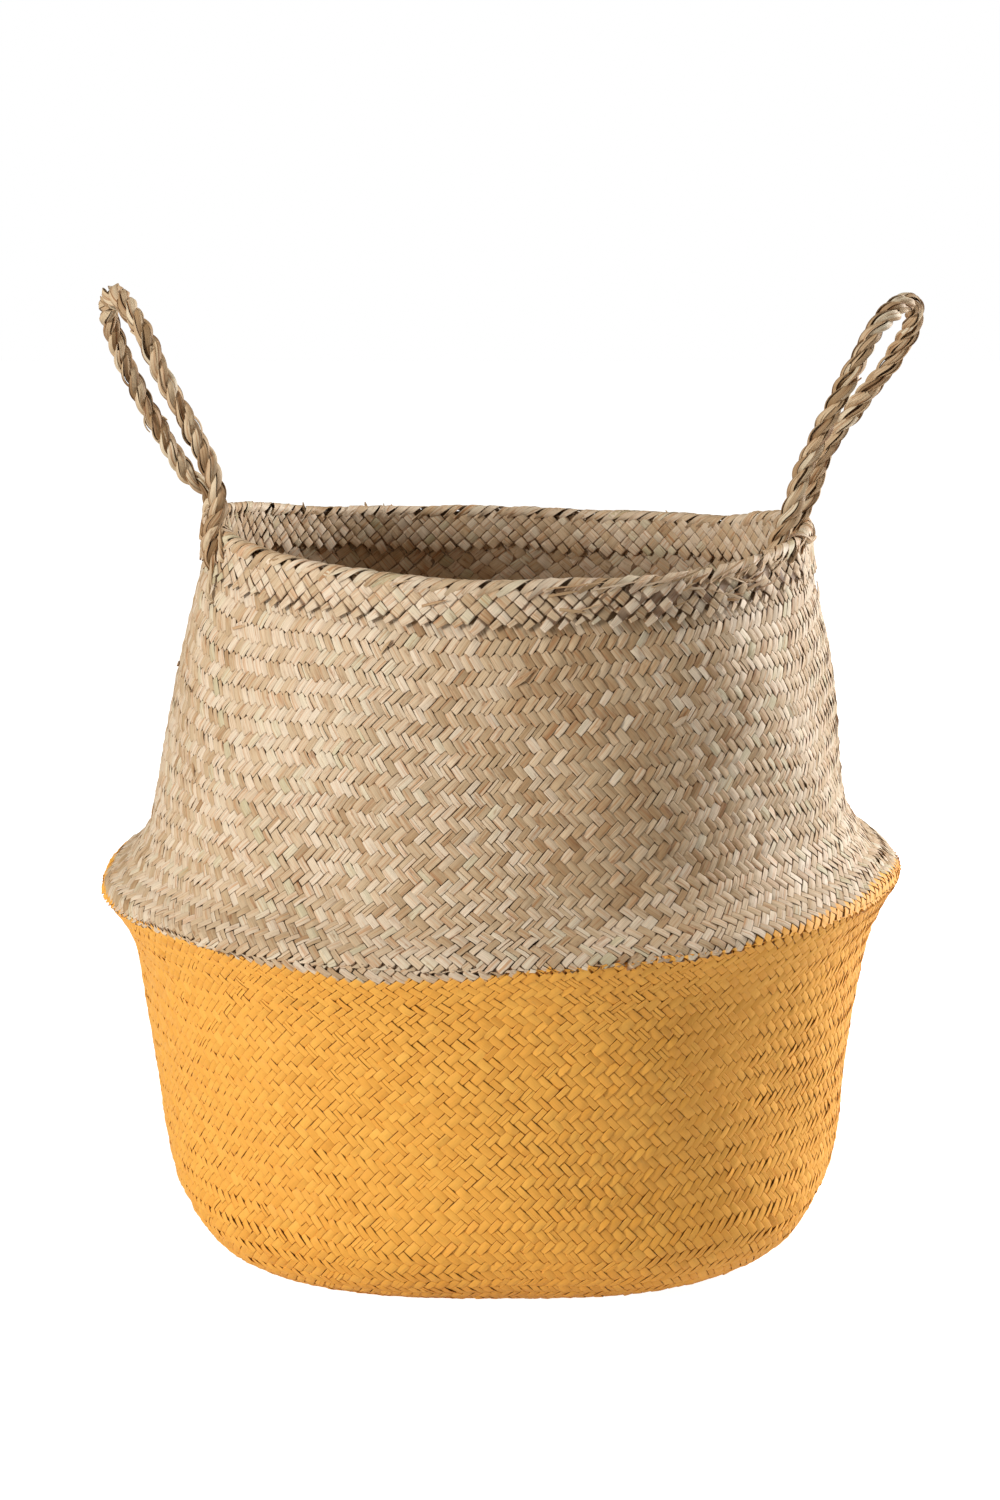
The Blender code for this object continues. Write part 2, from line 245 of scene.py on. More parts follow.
def meshOf(bundle, name, material):
    points, faces, caps = (np.vstack(bundle[key]) for key in ("points", "faces", "caps"))
    sizes = np.concatenate([np.full(len(faces), 4), np.full(len(caps), caps.shape[1])])
    data = bpy.data.meshes.new(name)
    data.vertices.add(len(points))
    data.vertices.foreach_set("co", points.astype(np.float32).ravel())
    data.loops.add(int(sizes.sum()))
    data.loops.foreach_set("vertex_index", np.concatenate([faces.ravel(), caps.ravel()]).astype(np.int32))
    data.polygons.add(len(sizes))
    data.polygons.foreach_set("loop_start", (np.cumsum(sizes) - sizes).astype(np.int32))
    data.polygons.foreach_set("loop_total", sizes.astype(np.int32))
    data.update(calc_edges=True)
    maps = {"leaf": bundle["leaf"] + bundle["capLeaf"], "OFBake": bundle["bake"] + bundle["capBake"]}
    for key, values in maps.items():
        values = np.vstack(values) / ((1.0, 1.0) if key == "leaf" else (1.0, bundle["strips"]))
        data.uv_layers.new(name=key).uv.foreach_set("vector", values.astype(np.float32).ravel())
    for key in pointKeys:
        values = np.concatenate(bundle[key]).astype(np.float32)
        data.attributes.new(key, "FLOAT", "POINT").data.foreach_set("value", values)
    data.materials.append(material)
    thing = bpy.data.objects.new(name, data)
    bpy.context.scene.collection.objects.link(thing)
    bpy.ops.object.select_all(action="DESELECT")
    thing.select_set(True)
    bpy.context.view_layer.objects.active = thing
    bpy.ops.object.shade_smooth_by_angle(angle=math.radians(30))
    return thing


# materials


def linear(hexColour):
    parts = [int(hexColour[i : i + 2], 16) / 255 for i in (1, 3, 5)]
    return tuple(c / 12.92 if c <= 0.04045 else ((c + 0.055) / 1.055) ** 2.4 for c in parts) + (1.0,)


def add(tree, kind, settings=None, **inputs):
    node = tree.nodes.new("ShaderNode" + kind)
    for key, value in (settings or {}).items():
        setattr(node, key, value)
    for key, value in inputs.items():
        socket = node.inputs[int(key[1:]) if key[1:].isdigit() else key.replace("_", " ")]
        if isinstance(value, bpy.types.NodeSocket):
            tree.links.new(value, socket)
        else:
            socket.default_value = value
    return node


def ramp(tree, value, stops):
    node = add(tree, "ValToRGB", i0=value)
    while len(node.color_ramp.elements) < len(stops):
        node.color_ramp.elements.new(1.0)
    for element, (at, colour) in zip(node.color_ramp.elements, stops):
        element.position = at
        element.color = linear(colour) if isinstance(colour, str) else (colour, colour, colour, 1.0)
    return node.outputs["Color"]


def sums(tree, value, factor, more=0.0):
    return add(tree, "Math", {"operation": "MULTIPLY_ADD"}, i0=value, i1=factor, i2=more).outputs[0]


def blended(tree, share, below, above, how="MIX"):
    settings = {"data_type": "RGBA", "blend_type": how}
    return add(tree, "Mix", settings, i0=share, i6=below, i7=above).outputs[2]


# dried flat sedge: matt, silky along its fibres, each leaf its own straw tone
def driedLeaf(name, tones, streakTone, spotTone, painted=False):
    material = bpy.data.materials.new(name)
    material.use_nodes = True
    tree = material.node_tree
    shader = tree.nodes["Principled BSDF"]
    spot = add(tree, "SeparateXYZ", Vector=add(tree, "UVMap", {"uv_map": "leaf"}).outputs["UV"])
    strand, tone, sunk = (
        add(tree, "Attribute", {"attribute_name": key}).outputs["Fac"] for key in ("strand", "tone", "sunk")
    )

    def field(perMetreAlong, perMetreAcross, detail, offset):
        x = sums(tree, spot.outputs["X"], perMetreAlong)
        y = sums(tree, spot.outputs["Y"], perMetreAcross)
        vector = add(tree, "CombineXYZ", X=x, Y=y, Z=sums(tree, strand, 71.0, offset)).outputs[0]
        return add(tree, "TexNoise", Vector=vector, Scale=1.0, Detail=detail, Roughness=0.6).outputs["Fac"]

    def darker(colour, mask, stops, tint):
        return blended(tree, ramp(tree, mask, stops), colour, linear(tint), "MULTIPLY")

    slow = field(30.0, 60.0, 2.0, 0.0)  # tone drifts over 30 mm of leaf
    fibres = field(60.0, 3300.0, 2.0, 11.0)  # fibres 0.3 mm apart
    streaks = field(40.0, 1000.0, 2.0, 23.0)  # pinkish streaks 1 mm wide
    spots = field(120.0, 380.0, 3.0, 37.0)  # bruises of 3 to 8 mm
    drift = sums(tree, slow, 0.6, -0.3)
    shade = add(tree, "Math", {"operation": "ADD", "use_clamp": True}, i0=tone, i1=drift).outputs[0]
    grain = ramp(tree, fibres, ((0.30, 0.80), (0.66, 1.06)))
    colour = ramp(tree, shade, tones)
    colour = darker(colour, streaks, ((0.50, 0.0), (0.72, 1.0)), streakTone)
    colour = darker(colour, spots, ((0.60, 0.0), (0.76, 0.8)), spotTone)
    colour = blended(tree, 1.0, colour, grain, "MULTIPLY")
    colour = darker(colour, sunk, ((0.20, 0.0), (0.58, 0.78)), "#80644A")  # brown cut edges, plus painted shade along the edges and where a strip dives under its neighbour
    if painted:
        # matt paint brushed over the plait, thin where it wore and ragged at its edge
        mask = add(tree, "Attribute", {"attribute_name": "paint"}).outputs["Fac"]
        edge = add(tree, "Math", {"operation": "ADD"}, i0=mask, i1=sums(tree, spots, 0.5, -0.25)).outputs[0]
        cover = ramp(tree, edge, ((0.34, 0.0), (0.52, 1.0)))
        depth = sums(tree, tone, 0.45, sums(tree, slow, 0.55))
        coat = ramp(tree, depth, ((0.20, "#EBA23B"), (0.48, "#F5AF46"), (0.80, "#FBBA50")))
        coat = blended(tree, 0.30, coat, grain, "MULTIPLY")
        coat = blended(tree, ramp(tree, spots, ((0.64, 0.0), (0.80, 0.40))), coat, linear("#B98A50"))
        # painted shade in the crevices and along the strips' edges under the paint
        coat = darker(coat, sunk, ((0.20, 0.0), (0.55, 0.65)), "#B98652")
        colour = blended(tree, cover, colour, coat)
    tree.links.new(colour, shader.inputs["Base Color"])
    shader.inputs["Roughness"].default_value = 0.6
    shader.inputs["Specular IOR Level"].default_value = 0.35
    bump = add(tree, "Bump", Strength=0.35, Distance=0.00025, Height=fibres)
    tree.links.new(bump.outputs["Normal"], shader.inputs["Normal"])
    return material


strawTones = (
    (0.00, "#96714A"),
    (0.13, "#B5936B"),
    (0.30, "#C6AA85"),
    (0.50, "#D5BB99"),
    (0.72, "#E4D0B6"),
    (0.88, "#D9CAAB"),
    (1.00, "#C9BB97"),
)
ropeTones = ((0.0, "#6E5338"), (0.22, "#A08059"), (0.48, "#BF9F78"), (0.78, "#D6BE9B"), (1.0, "#E0D0B3"))
# dark browns for the painted shade behind the hem
hemShadeTones = ((0.0, "#6A4F34"), (1.0, "#8E7049"))
naturalLeaf = driedLeaf("dried_sedge_leaf", strawTones, "#E8C8AE", "#B98E69")
paintedLeaf = driedLeaf("painted_sedge_leaf", strawTones, "#E8C8AE", "#B98E69", painted=True)
ropeLeaf = driedLeaf("twisted_sedge_leaf", ropeTones, "#C79F7C", "#96704C")
hemShadeLeaf = driedLeaf("hem_shade_leaf", hemShadeTones, "#B09070", "#A08060")  # dark rings behind the hem: painted shade seen through its gaps
print("materials ready")


def toneOf(own):
    kind = own.random()
    if kind < 0.010:
        return own.uniform(0.20, 0.30)  # brown leaf
    if kind < 0.045:
        return own.uniform(0.86, 1.0)  # grey-green leaf
    return own.uniform(0.33, 0.80)


# the plaited wall: strips lean both ways, over two and under two

weave = {
    "strips": 208,  # each way round
    "stripWidth": 0.0036,
    "steepest": 0.87,  # sine of the steepest lean
    "thickness": 0.00060,
    "wave": 0.00054,  # swing out and in
    "unequal": 0.04,  # wide and narrow lanes in turn
    "fit": {1: 0.985, -1: 1.02},  # a strip's share of its lane, for each lean
    "proudEdge": {1: (0.19, -0.09), -1: (0.13, -0.07)},  # a strip's slope: more at the front, and all round
    "front": (288, 34),  # where those slopes are, and their reach to each side
    "brownAndShaded": (288, 24, 0.25),  # a darker stretch at the front right, partly browner leaves and partly painted shade: its angle, its reach to each side, how much
    "split": (0.16, 0.42, 0.62),  # how often two narrow leaves share a lane, and where they part
    "lap": 0.85,  # the lowest ends lap over the bottom's
    "matRows": 52,
    "matStep": 0.002545,
    "hemStart": 0.0182,  # the wall's strips end this far under the rim
}
habit = {  # how a strip strays from its lane
    "slope": 0.055,
    "slopes": 0.065,
    "raised": 0.00018,
    "widths": 0.03,
    "swell": 0.05,
    "wander": 0.00012,
    "tones": 0.08,
    "stained": (0.012, 0.20),  # how many stretches are darker, and how much
}
gait = {"hold": 0.39, "turning": 0.9, "floating": 1.05, "end": 1.08}  # a strip's level at each crossing
stripCount = weave["strips"]


def wallRows():
    found = [weave["matRows"] * weave["matStep"]]
    while found[-1] < rimRun + 0.01:
        radius = np.interp(found[-1], runs, middle[:, 0])
        pitch = tau * radius / stripCount
        lean = math.asin(min(weave["stripWidth"] / pitch, weave["steepest"]))
        found.append(found[-1] + pitch / 2 * math.tan(lean))
    return np.array(found)


rowRuns = wallRows()
rowSteps = np.arange(len(rowRuns))
bellyRow = int(round(float(np.interp(bellyRun, rowRuns, rowSteps))))
hemRow = int(np.searchsorted(rowRuns, rimRun - weave["hemStart"]))
seam = bellyRow - 4  # where the lower strips' pieces end and the upper ones' begin
seamRun = np.interp(seam - 0.5, rowSteps, rowRuns)


def lanesOf(seed, count, swap):
    own = np.random.default_rng(seed)
    i = np.arange(count + 1)
    slow = 0.6 * np.sin(i * tau * 3 / count + own.uniform(0, tau))
    quick = 0.4 * np.sin(i * tau * 11 / count + own.uniform(0, tau))
    strength = np.clip(swap * (1.0 + slow + quick), -0.05, 0.07)
    edges = i - 0.5 + strength * np.where(i % 2 == 0, -1, 1) + own.normal(0, 0.05, count + 1)
    edges[-1] = edges[0] + count
    return edges


def laneAt(edges, index):
    turn, spot = np.divmod(np.asarray(index), len(edges) - 1)
    low, high = edges[spot], edges[spot + 1]
    return (low + high) / 2 + turn * (len(edges) - 1), high - low


def walk(at, wide, state, early=0.5, late=0.5):
    before, now, after = state[:-2], state[1:-1], state[2:]
    rows = np.stack([at - wide * gait["hold"], at + wide * gait["hold"]], 1).ravel()
    levels = [now * np.where(beside == now, gait["floating"], gait["turning"]) for beside in (before, after)]
    first = gait["end"] * now[0] * (before[0] == now[0])
    last = gait["end"] * now[-1] * (after[-1] == now[-1])
    rows = np.concatenate([[at[0] - wide[0] * early], rows, [at[-1] + wide[-1] * late]])
    return rows, np.concatenate([[first], np.stack(levels, 1).ravel(), [last]])


# lane holds where a strip runs, where its neighbour runs, its swing, and which float each station is on
def layStrip(
    bundle, lane, share, own, tone, strand,
    paint=0.0, fit=1.0, shift=0.0, slope=habit["slope"], free=1.0, form=weave,
):
    at, beside, swing, floats = lane
    still = np.zeros(len(swing))
    route = at(still)
    outward = unit(at(still + 0.001) - at(still - 0.001))
    across = unit(np.cross(unit(np.gradient(route, axis=0)), outward))
    spacing = np.abs(np.sum((beside(still) - route) * across, axis=1))
    steps = np.arange(len(swing))
    swell = habit["swell"] * np.sin(steps * own.uniform(0.05, 0.15) + own.uniform(0, tau))
    width = spacing * share * (fit + free * (swell + own.normal(0, habit["widths"])))
    piece = floats - floats.min()
    count = piece.max() + 1
    tilt = (slope + free * own.normal(0, habit["slopes"], count)[piece]) * np.sign(swing)
    raised = np.abs(own.normal(0, habit["raised"], count))[piece]
    raised = raised * (np.abs(swing) > 0.9) * np.sign(swing) * free
    tone = tone + own.normal(0, habit["tones"], count)[piece]
    often, much = habit["stained"]
    tone = np.clip(tone - much * (own.random(count) < often)[piece], 0.15, 1)
    wander = free * habit["wander"] * np.sin(steps * own.uniform(0.03, 0.1) + own.uniform(0, tau))
    slide = shift * spacing + wander
    centre = at(swing * form["wave"]) + outward * raised[:, None] + across * slide[:, None]
    addStrip(bundle, centre, outward, width, form["thickness"], tilt, paint, strand, tone, swing)


def paintAt(run, angle):
    dip = 0.0013 + 0.0077 * np.cos(2 * angle + 0.65) - 0.0026 * np.sin(angle) - 0.0014 * np.cos(angle)
    ragged = 0.0007 * np.sin(angle * 23 + 1) + 0.0005 * np.sin(angle * 61)
    return 1.0 - eased(run + ragged - dip, bellyRun - 0.0018, bellyRun + 0.0022)  # brushed by eye


def around(angle, middleAt, reach):
    return np.exp(-((((np.degrees(angle) % 360) - middleAt) / reach) ** 2))


lanes = {lean: lanesOf(seed, stripCount, weave["unequal"]) for lean, seed in ((1, 61), (-1, 62))}


def wallStrips(name, leaning, first, last, chosen):
    bundle = newBundle()
    crossings = np.arange(first - 1, last + 2)
    state = np.where((crossings % 4 < 2) == (leaning > 0), 1, -1)
    floats = np.floor((crossings - (0 if leaning > 0 else 2)) / 2).astype(int)[1:-1]
    floats = np.concatenate([floats[:1], np.repeat(floats, 2), floats[-1:]])
    brownAndShadedAt, brownAndShadedReach, brownAndShadedBy = weave["brownAndShaded"]
    often, least, most = weave["split"]
    atFront, allRound = weave["proudEdge"][leaning]
    for index in chosen:
        own = np.random.default_rng(1000 + index * 2 + (leaning > 0))
        centre, share = laneAt(lanes[leaning], index)
        across, wide = laneAt(lanes[-leaning], index + leaning * crossings[1:-1])
        rows, swing = walk((across - centre) * leaning, wide, state, weave["lap"] if first == 0 else 0.5)
        run = np.interp(rows, rowSteps, rowRuns) + np.minimum(rows, 0) * weave["matStep"]
        angle = tau * (centre + leaning * rows / 2) / stripCount
        beside = angle + tau / stripCount
        tone, strand, split = toneOf(own), own.random(), own.random()
        paint = paintAt(run, angle)
        # painted shade: the front right is made darker, partly as browner leaves
        brownAndShaded = brownAndShadedBy * around(angle, brownAndShadedAt, brownAndShadedReach) * eased(run, bellyRun, bellyRun + 0.04)
        free = eased(np.abs(run - seamRun), 0.0, 0.006)
        slope = atFront * around(angle, *weave["front"]) + allRound
        lane = (
            lambda lift: wallPoint(angle, run, lift),
            lambda lift: wallPoint(beside, run, lift),
            swing,
            floats,
        )
        if split < often and share > 0.95:
            cut = own.uniform(least, most)
            left, right = -share * (1 - cut) / 2, share * cut / 2
            layStrip(bundle, lane, share * cut, own, tone - brownAndShaded, strand, paint, shift=left, free=free)
            tone, strand = toneOf(own), own.random()
            layStrip(bundle, lane, share * (1 - cut), own, tone - brownAndShaded, strand, paint, shift=right, free=free)
        else:
            fit = weave["fit"][leaning]
            layStrip(bundle, lane, share, own, tone - brownAndShaded, strand, paint, fit=fit, slope=slope, free=free)
    return meshOf(bundle, name, paintedLeaf)


for leaning, side in ((1, "right"), (-1, "left")):
    for third in range(3):
        chosen = range(third * stripCount // 3, (third + 1) * stripCount // 3)
        piece = wallStrips(f"lower_strips_{side}_{third + 1}", leaning, 0, seam - 1, chosen)
        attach(piece, "lower_basket")
        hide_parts("lower_wall")
    for half in range(2):
        chosen = range(half * stripCount // 2, (half + 1) * stripCount // 2)
        piece = wallStrips(f"upper_strips_{side}_{half + 1}", leaning, seam, hemRow, chosen)
        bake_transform(piece)
        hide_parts("belly_fold", "upper_wall")
print("wall plaited", len(rowRuns), bellyRow, hemRow)


# the plaited bottom: square in the middle, drawn round towards the wall


def matPoint(x, y, lift):
    ring = np.maximum(np.maximum(np.abs(x), np.abs(y)), 1e-6)  # x and y count half pitches
    side = np.where(np.abs(x) >= np.abs(y), np.where(x > 0, 0, 2), np.where(y > 0, 1, 3))
    slide = np.select([side == 0, side == 1, side == 2], [y, -x, -y], x) / ring
    angle = side * tau / 4 + slide * tau / 8
    rounded = wallPoint(angle, ring * weave["matStep"], lift)
    flat = np.stack([x * weave["matStep"], y * weave["matStep"], rounded[..., 2]], axis=-1)
    share = eased(ring, weave["matRows"] * 0.3, weave["matRows"] - 2.0)[..., None]
    return flat * (1 - share) + rounded * share


def matStrips(name, leaning):
    bundle = newBundle()
    reach = weave["matRows"] - 1
    for c in range(-2 * reach + 2, 2 * reach - 1, 2):  # the strip where x - leaning * y = c
        x = np.arange(max(-reach, c - reach) - 1, min(reach, c + reach) + 2)
        y = leaning * (x - c)
        ring = np.maximum(np.abs(x), np.abs(y)) - weave["matRows"]
        first = (np.abs(x) >= np.abs(y)) == (leaning > 0)
        state = np.where((ring % 4 < 2) == first, 1, -1)
        own = np.random.default_rng(9000 + c * 2 + (leaning > 0))
        steps, swing = walk(x[1:-1].astype(float), np.ones(len(x) - 2), state, weave["lap"], weave["lap"])
        across = leaning * (steps - c)
        floats = np.cumsum(np.concatenate([[0], np.abs(np.diff(np.sign(swing)))])).astype(int) // 2
        lane = (
            lambda lift: matPoint(steps, across, lift),
            lambda lift: matPoint(steps + 1, across - leaning, lift),
            swing,
            floats,
        )
        layStrip(bundle, lane, 1.0, own, toneOf(own), own.random(), paint=1.0)
    return meshOf(bundle, name, paintedLeaf)


for leaning, side in ((1, "right"), (-1, "left")):
    piece = matStrips(f"bottom_strips_{side}", leaning)
    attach(piece, "lower_basket")
    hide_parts("base_mat")
print("bottom plaited")


# the hem: wider strips turned down over both sides, over one and under one; the lining is coarser
# drop and stop: how far under the rim the strips start and end; lift: how far out from the wall's middle

bands = {
    "hem_outside": {
        "strips": 120, "rows": 5, "drop": 0.0178, "stop": 0.0006, "lift": 0.00215,
        "wave": 0.00042, "thickness": 0.0006, "slits": 0.40, "seed": 71,
    },
    "hem_inside": {
        "strips": 116, "rows": 5, "drop": 0.0185, "stop": 0.0012, "lift": -0.00230,
        "wave": 0.00040, "thickness": 0.0006, "slits": 0.16, "seed": 72,
    },
    "inner_wall": {
        "strips": 84, "rows": 20, "drop": 0.110, "stop": 0.0196, "lift": -0.00098,
        "wave": 0.00030, "thickness": 0.0005, "slits": 0.0, "seed": 73,
    },
}
hem = {
    "unequal": 0.06,
    "fit": 0.99,
    "uneven": 0.0006,  # how far the tucked ends wander up and down
    "proud": 0.0015,
    "worn": (305, 0.70, 0.95),  # the front's right is worn: its angle, and its reach as cosines
    "wornLift": 0.0005,
    "wornWidth": 0.30,
}


def nearAngle(angle, middleAt, low, high):
    return eased(np.cos(angle - math.radians(middleAt)), low, high)


def bandStrips(name, form, leaning):
    bundle = newBundle(insideLeaf if form["lift"] < 0 else flatLeaf)
    count, rows, seed = form["strips"], form["rows"], form["seed"]
    seeds = {1: seed, -1: seed + 10}
    ownLanes, otherLanes = (lanesOf(seeds[lean], count, hem["unequal"]) for lean in (leaning, -leaning))
    short = 1 if form["slits"] > 0.3 and leaning < 0 else 0  # these end a row early, which leaves slits
    n = np.arange(short - 1, rows + 1)
    state = np.where((n % 2 == 0) == (leaning > 0), 1, -1)
    floats = np.concatenate([[short], np.repeat(np.arange(short, rows), 2), [rows - 1]])
    start, stop = rimRun - form["drop"], rimRun - form["stop"]
    for index in range(count):
        own = np.random.default_rng(seed * 100 + index * 2 + (leaning > 0))
        centre, share = laneAt(ownLanes, index)
        across, wide = laneAt(otherLanes, index + leaning * n[1:-1])
        steps, swing = walk((across - centre) * leaning, wide, state)
        last = eased(steps, 1.3, -0.5)  # 1 at the tucked end
        run = start + (stop - start) * (steps + 0.5) / rows - own.normal(0, hem["uneven"]) * last
        angle = tau * (centre + leaning * steps / 2) / count
        beside = angle + tau / count
        messy = nearAngle(angle, *hem["worn"]) * (form["slits"] > 0)
        proud = hem["proud"] * form["slits"] * last * np.sign(form["lift"]) * (leaning > 0)
        proud = form["lift"] + proud + messy * own.normal(0, hem["wornLift"])
        fit = hem["fit"] - form["slits"] * last - messy * own.uniform(0, hem["wornWidth"])
        lane = (
            lambda lift: wallPoint(angle, run, lift + proud),
            lambda lift: wallPoint(beside, run, lift + form["lift"]),
            swing if form["lift"] > 0 else -swing,
            floats,
        )
        layStrip(bundle, lane, share, own, toneOf(own), own.random(), fit=fit, form=form)
    return meshOf(bundle, name, naturalLeaf)


bandNodes = {"hem_outside": "hem_outside", "hem_inside": "hem_inside", "inner_wall": "upper_wall"}
for leaning, side in ((1, "right"), (-1, "left")):
    for label, node in bandNodes.items():
        piece = bandStrips(f"{label}_{side}", bands[label], leaning)
        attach(piece, "upper_basket")
        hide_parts(node)

# the flat dark rings inside the hem, painted shade seen through the hem's gaps: how far under the rim, width
# and lift of each
hemShadeRings = ((0.0100, 0.0195, 0.0002), (0.0035, 0.0070, 0.0011), (0.0035, 0.0070, -0.0011))
bundle = newBundle()
turns = np.linspace(0, tau, 181)
for i, (below, wide, lift) in enumerate(hemShadeRings):
    ringLine = wallPoint(turns, rimRun - below + 0.0 * turns, lift + 0.0 * turns)
    away = unit(wallPoint(turns, rimRun - below + 0.0 * turns, lift + 0.001 + 0.0 * turns) - ringLine)
    addStrip(bundle, ringLine, away, wide, 0.0005, strand=0.1 * (i + 1))
piece = meshOf(bundle, "hem_shade_rings", hemShadeLeaf)
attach(piece, "upper_basket")
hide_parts("rim_lip")
print("hems plaited")


# the lip: leaves folded over the rim at a shallow slant, shingled

lip = {
    "strips": 148,
    "reach": 0.0021,
    "slant": 0.14,
    "width": 0.0038,
    "thick": 0.0005,
    "over": (-1.1, math.pi + 0.9),  # turns from outside, past the top, to inside
    "worn": (300, 0.75, 0.98),
    "wornLift": 0.0011,
}


def rimArc(angle, turn, reach):
    past = np.where(turn < 0, -turn, np.where(turn > math.pi, turn - math.pi, 0.0)) * reach
    held = np.clip(turn, 0, math.pi)  # 0 outside, half a turn inside
    point = wallPoint(angle, rimRun - past, reach * np.cos(held))
    point[..., 2] += reach * np.sin(held)
    return point


def lipStrips():
    bundle = newBundle()
    outside, inside = lip["over"]
    for index in range(lip["strips"]):
        own = np.random.default_rng(7000 + index)
        turn = np.linspace(outside + own.normal(0, 0.35), inside + own.normal(0, 0.3), 13)
        share = (turn - turn[0]) / (turn[-1] - turn[0])
        round0 = tau * (index + own.normal(0, 0.13)) / lip["strips"]
        angle = round0 + lip["slant"] * own.uniform(0.75, 1.3) * (share - 0.5)
        bow = np.sin(share * math.pi)
        messy = nearAngle(angle[6], *lip["worn"])
        reach = lip["reach"] + 0.0008 * eased(turn, 0.6, -0.8) + 0.00045 * share + abs(own.normal(0, 0.0003))
        reach = reach + lip["wornLift"] * messy * own.random() * bow**2
        centre = rimArc(angle, turn, reach)
        outward = unit(rimArc(angle, turn, reach + 0.001) - centre)
        width = lip["width"] * own.uniform(0.75, 1.2) * (0.55 + 0.45 * np.maximum(bow, 0.0) ** 0.6)
        tilt = own.normal(0.06, 0.05 + 0.1 * messy)
        addStrip(bundle, centre, outward, width, lip["thick"], tilt, strand=own.random(), tone=toneOf(own))
    return meshOf(bundle, "rim_lip_strips", naturalLeaf)


piece = lipStrips()
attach(piece, "upper_basket")
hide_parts("rim_lip")


# loose leaves: ends that stick out of the wall, the hem and the rim
# each maker: seed, angle, how far under the rim, turn from level, length, width, rise at the end, lift


def looseLeaves(name, makers):
    bundle = newBundle()
    for seed, angle, below, turn, long, wide, rise, lift in makers:
        own = np.random.default_rng(seed)
        t = np.linspace(0, 1, 7)
        run = rimRun - below + long * math.sin(turn) * t
        held = np.minimum(run, rimRun)
        spots = math.radians(angle) + long * math.cos(turn) * t / np.interp(run, runs, middle[:, 0])
        out = lift + rise * t**1.6 + 0.0006 * np.sin(t * math.pi)
        centre = wallPoint(spots, held, out)
        outward = unit(wallPoint(spots, held, out + 0.001) - centre)
        centre[:, 2] += np.maximum(run - rimRun, 0)
        width = wide * np.clip(1.15 - t**3, 0.25, 1) * (1 + 0.1 * np.sin(t * 9 + seed))
        tilt, strand, tone = own.normal(0.1, 0.2), own.random(), toneOf(own) - 0.22
        addStrip(bundle, centre, outward, width, 0.0004, tilt, strand=strand, tone=tone)
    return meshOf(bundle, name, naturalLeaf)


own = np.random.default_rng(88)
some = own.uniform
hemMess = []
for i in range(36):
    angle = own.normal(308, 13) if i % 3 > 0 else some(0, 360)
    below, turn, long = some(0.001, 0.012), some(0.10, 0.50) * own.choice((1, 1, -1)), some(0.006, 0.015)
    hemMess.append((i, angle, below, turn, long, some(0.0005, 0.0015), some(0.0004, 0.0020), 0.0028))
for i, (angle, below) in enumerate(
    ((284, 0.002), (292, 0.001), (298, 0.0), (276, 0.001), (306, 0.003), (312, 0.004))
):
    turn, long, wide = some(0.10, 0.35), some(0.016, 0.030), some(0.0004, 0.0009)
    hemMess.append((60 + i, angle, below, turn, long, wide, 0.0018, 0.0032))
for i in range(14):
    angle, turn, long, wide = some(20, 160), some(0.5, 1.5), some(0.004, 0.007), some(0.0008, 0.0020)
    hemMess.append((80 + i, angle, 0.002, turn, long, wide, 0.001, own.choice((0.0015, -0.0018))))
wallMess = []
for i in range(34):
    angle, below, turn, long = some(0, 360), some(0.026, 0.125), some(-1.2, 1.2), some(0.006, 0.011)
    wallMess.append((100 + i, angle, below, turn, long, some(0.0014, 0.0030), some(0.0003, 0.0016), 0.0007))
piece = looseLeaves("hem_loose_ends", hemMess)
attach(piece, "upper_basket")
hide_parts("rim_lip")
piece = looseLeaves("upper_wall_loose_ends", [maker for maker in wallMess if maker[2] < 0.098])
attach(piece, "upper_basket")
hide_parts("upper_wall")
print("lip and loose ends done")


# rope handles: three plies of leaves, each leaf wound round its ply, laid up right-handed

rope = {
    "plies": 3,
    "plyReach": 0.0021,
    "plyRadius": 0.0019,
    "lay": 0.0235,
    "twist": -0.055,
    "leaves": 5,
    "step": 0.0011,
    "end": 0.55,
    "taper": 0.013,
    "core": 0.72,  # a core's share of its ply's radius
    "fray": (0.0004, 0.0024, 0.45),  # how far leaf ends lift, and how many do
    "leafWidth": (0.0020, 0.0034),
    "leafThick": 0.00045,
    "tones": (0.25, 0.45, 0.6, 0.75, 0.9),
    "toneShares": (0.15, 0.2, 0.25, 0.25, 0.15),
}
handles = {
    "left": {
        "front": {"at": 202, "lean": (0.0362, -0.067, 0.079), "foot": "outside"},
        "back": {"at": 179, "lean": (0.0516, 0.093, 0.002), "foot": "through"},
        "tall": 0.1035,
        "arch": 0.0283,
        "swell": 0.22,
    },
    "right": {
        "front": {"at": 333, "lean": (0.0372, -0.114, 0.065), "foot": "inside"},
        "back": {"at": 355, "lean": (0.0547, -0.150, 0.068), "foot": "inside"},
        "tall": 0.1066,
        "arch": 0.0312,
        "swell": 0.0,
    },
}
feet = {  # out from the rim's middle and up, from the rope's hidden end to where the leg stands free
    "outside": ((0.0050, -0.015), (0.0062, -0.010), (0.0066, -0.004), (0.0052, 0.003), (0.0026, 0.010)),
    "through": ((0.0000, -0.018), (0.0002, -0.011), (0.0006, -0.004), (0.0010, 0.003), (0.0014, 0.010)),
    "inside": ((-0.0030, -0.026), (-0.0058, -0.017), (-0.0066, -0.008), (-0.0052, 0.002), (-0.0018, 0.010)),
}


